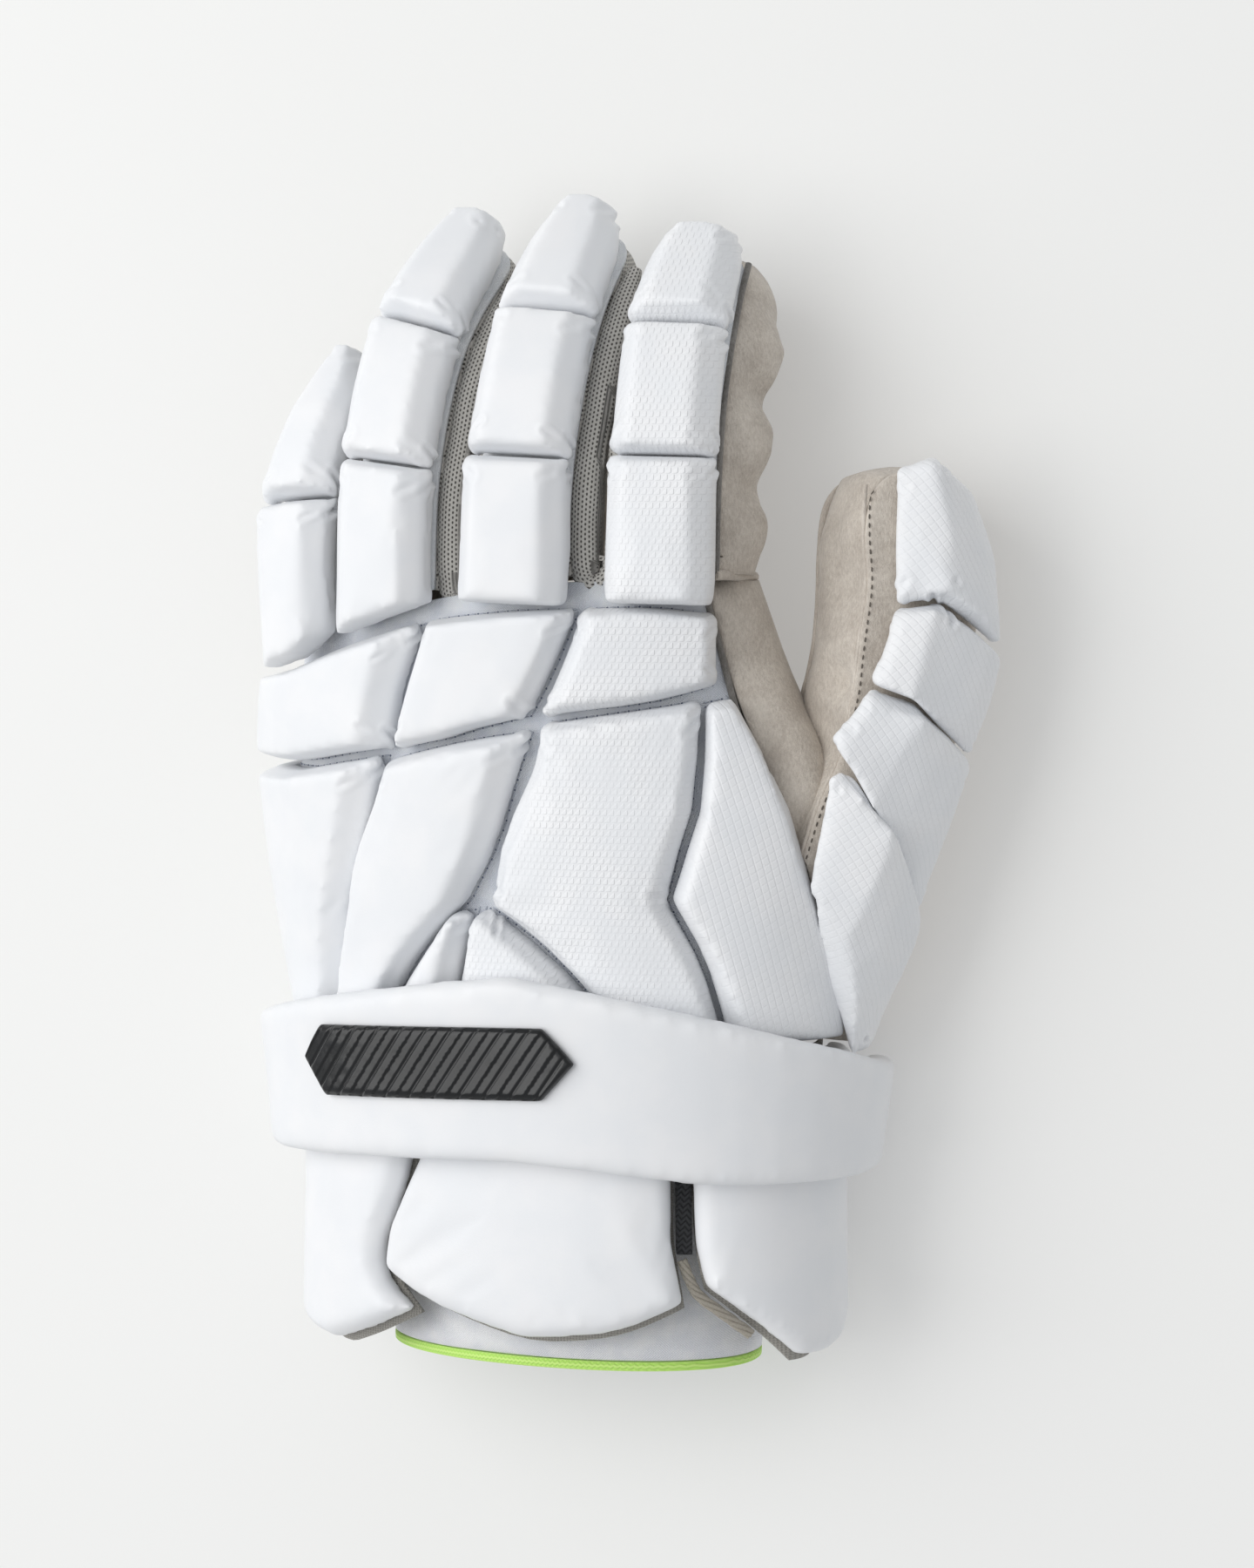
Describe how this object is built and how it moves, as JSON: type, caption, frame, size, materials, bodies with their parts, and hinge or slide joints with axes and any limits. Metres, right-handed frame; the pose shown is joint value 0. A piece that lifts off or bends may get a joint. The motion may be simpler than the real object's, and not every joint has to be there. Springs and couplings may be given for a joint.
{
  "type": "lacrosse glove",
  "caption": "Left-hand padded stick-sport glove with segmented foam pads over the fingers, thumb and back, a suede palm, a wrist strap and three cuff flaps over an inner sleeve.",
  "frame": {"origin": "middle of the glove's footprint, on the floor that the palm rests on", "axes": "+X towards the thumb's side, +Y towards the fingertips, +Z out of the back of the hand"},
  "size_m": [0.2214, 0.3296, 0.086],
  "materials": {
    "pad": "matte white synthetic leather over foam",
    "base": "smooth white backing cloth",
    "suede": "grey brushed suede",
    "mesh": "grey open mesh",
    "lining": "grey knit",
    "sleeve": "smooth white padded cloth",
    "binding": "bright green edge tape",
    "badge": "glossy black",
    "tab": "black webbing",
    "lace": "beige cord"
  },
  "bodies": {
    "root": {"back_gusset_index": "pad", "back_gusset_little": "pad", "back_pad_index": "pad", "back_pad_little": "pad", "back_pad_middle": "pad", "badge": "badge", "binding": "binding", "flap_little": "pad", "flap_little_lining": "lining", "flap_middle": "pad", "flap_middle_lining": "lining", "flap_thumb": "pad", "flap_thumb_lining": "lining", "hand_backing": "base", "index_backing": "base", "index_mesh_wall": "mesh", "index_pad_lower": "pad", "index_pad_middle": "pad", "index_pad_tip": "pad", "index_palm_strip": "suede", "index_suede_wall": "suede", "knuckle_pad_index": "pad", "knuckle_pad_little": "pad", "knuckle_pad_middle": "pad", "lace": "lace", "little_backing": "base", "little_mesh_wall": "mesh", "little_pad_lower": "pad", "little_pad_tip": "pad", "little_palm_strip": "suede", "little_ring_web": "mesh", "middle_backing": "base", "middle_index_web": "mesh", "middle_mesh_wall": "mesh", "middle_pad_lower": "pad", "middle_pad_middle": "pad", "middle_pad_tip": "pad", "middle_palm_strip": "suede", "palm": "suede", "ring_backing": "base", "ring_mesh_wall": "mesh", "ring_middle_web": "mesh", "ring_pad_lower": "pad", "ring_pad_middle": "pad", "ring_pad_tip": "pad", "ring_palm_strip": "suede", "sleeve": "sleeve", "strap": "pad", "tab": "tab", "thumb_backing": "suede", "thumb_pad_lower": "pad", "thumb_pad_middle": "pad", "thumb_pad_root": "pad", "thumb_pad_tip": "pad", "thumb_palm_strip": "suede", "thumb_side_pad": "pad", "thumb_suede_wall": "suede"}
  },
  "joints": []
}
